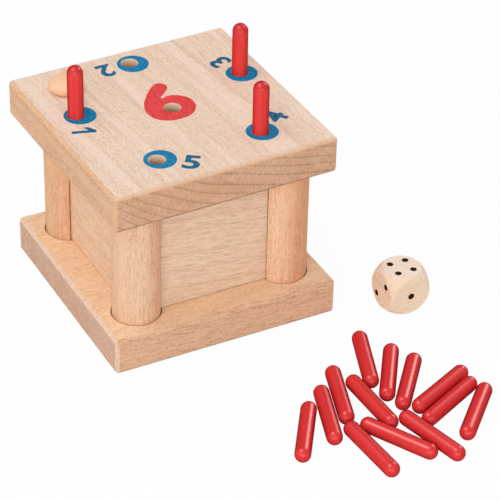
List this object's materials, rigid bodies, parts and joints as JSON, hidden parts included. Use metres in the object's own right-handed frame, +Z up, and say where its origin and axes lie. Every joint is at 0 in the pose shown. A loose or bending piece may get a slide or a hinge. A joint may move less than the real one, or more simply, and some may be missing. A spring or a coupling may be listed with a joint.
{
  "type": "wooden dice game",
  "caption": "Square wooden peg and dice game: a box on round posts with a lid that swings on a pin, numbered holes, red pegs and a die",
  "frame": {"origin": "centre of the base board's underside, on the ground", "axes": "+X to the right along the front, +Y to the back, +Z up; the pin stands over the left back corner (-X, +Y) and the loose pegs lie in front (-Y)"},
  "size_m": [0.1393, 0.2116, 0.1077],
  "materials": {
    "base_wood": "sanded, matt",
    "post_wood": "sanded, matt",
    "wall_wood": "sanded, matt",
    "lid_wood": "sanded, matt, printed",
    "pin_wood": "turned, waxed",
    "die_wood": "satin lacquer",
    "peg_red": "glossy red lacquer"
  },
  "bodies": {
    "base": {"base_board": "base_wood", "post_left": "post_wood", "post_front": "post_wood", "post_right": "post_wood", "post_back": "post_wood", "wall_front": "wall_wood", "wall_left": "wall_wood", "wall_right": "wall_wood", "wall_back": "wall_wood", "pivot_pin": "pin_wood"},
    "lid": {"lid_board": "lid_wood"},
    "standing_peg_1": {"standing_peg_1": "peg_red"},
    "standing_peg_3": {"standing_peg_3": "peg_red"},
    "standing_peg_4": {"standing_peg_4": "peg_red"},
    "die": {"die": "die_wood"},
    "loose_peg_01": {"loose_peg_01": "peg_red"},
    "loose_peg_02": {"loose_peg_02": "peg_red"},
    "loose_peg_03": {"loose_peg_03": "peg_red"},
    "loose_peg_04": {"loose_peg_04": "peg_red"},
    "loose_peg_05": {"loose_peg_05": "peg_red"},
    "loose_peg_06": {"loose_peg_06": "peg_red"},
    "loose_peg_07": {"loose_peg_07": "peg_red"},
    "loose_peg_08": {"loose_peg_08": "peg_red"},
    "loose_peg_09": {"loose_peg_09": "peg_red"},
    "loose_peg_10": {"loose_peg_10": "peg_red"},
    "loose_peg_11": {"loose_peg_11": "peg_red"},
    "loose_peg_12": {"loose_peg_12": "peg_red"},
    "loose_peg_13": {"loose_peg_13": "peg_red"}
  },
  "joints": [
    {"name": "lid_swing", "type": "hinge", "parent": "base", "child": "lid", "pos_m": [-0.0335, 0.0335, 0.068], "axis": [0, 0, 1], "continuous": true},
    {"name": "peg_1_pull", "type": "slide", "parent": "lid", "child": "standing_peg_1", "axis": [0, 0, 1], "range_m": [0, 0.025]},
    {"name": "peg_3_pull", "type": "slide", "parent": "lid", "child": "standing_peg_3", "axis": [0, 0, 1], "range_m": [0, 0.025]},
    {"name": "peg_4_pull", "type": "slide", "parent": "lid", "child": "standing_peg_4", "axis": [0, 0, 1], "range_m": [0, 0.025]},
    {"name": "die_lift", "type": "slide", "parent": "base", "child": "die", "axis": [0, 0, 1], "range_m": [0, 0.03]},
    {"name": "loose_peg_01_lift", "type": "slide", "parent": "base", "child": "loose_peg_01", "axis": [0, 0, 1], "range_m": [0, 0.03]},
    {"name": "loose_peg_02_lift", "type": "slide", "parent": "base", "child": "loose_peg_02", "axis": [0, 0, 1], "range_m": [0, 0.03]},
    {"name": "loose_peg_03_lift", "type": "slide", "parent": "base", "child": "loose_peg_03", "axis": [0, 0, 1], "range_m": [0, 0.03]},
    {"name": "loose_peg_04_lift", "type": "slide", "parent": "base", "child": "loose_peg_04", "axis": [0, 0, 1], "range_m": [0, 0.03]},
    {"name": "loose_peg_05_lift", "type": "slide", "parent": "base", "child": "loose_peg_05", "axis": [0, 0, 1], "range_m": [0, 0.03]},
    {"name": "loose_peg_06_lift", "type": "slide", "parent": "base", "child": "loose_peg_06", "axis": [0, 0, 1], "range_m": [0, 0.03]},
    {"name": "loose_peg_07_lift", "type": "slide", "parent": "base", "child": "loose_peg_07", "axis": [0, 0, 1], "range_m": [0, 0.03]},
    {"name": "loose_peg_08_lift", "type": "slide", "parent": "base", "child": "loose_peg_08", "axis": [0, 0, 1], "range_m": [0, 0.03]},
    {"name": "loose_peg_09_lift", "type": "slide", "parent": "base", "child": "loose_peg_09", "axis": [0, 0, 1], "range_m": [0, 0.03]},
    {"name": "loose_peg_10_lift", "type": "slide", "parent": "base", "child": "loose_peg_10", "axis": [0, 0, 1], "range_m": [0, 0.03]},
    {"name": "loose_peg_11_lift", "type": "slide", "parent": "base", "child": "loose_peg_11", "axis": [0, 0, 1], "range_m": [0, 0.03]},
    {"name": "loose_peg_12_lift", "type": "slide", "parent": "base", "child": "loose_peg_12", "axis": [0, 0, 1], "range_m": [0, 0.03]},
    {"name": "loose_peg_13_lift", "type": "slide", "parent": "base", "child": "loose_peg_13", "axis": [0, 0, 1], "range_m": [0, 0.03]}
  ]
}
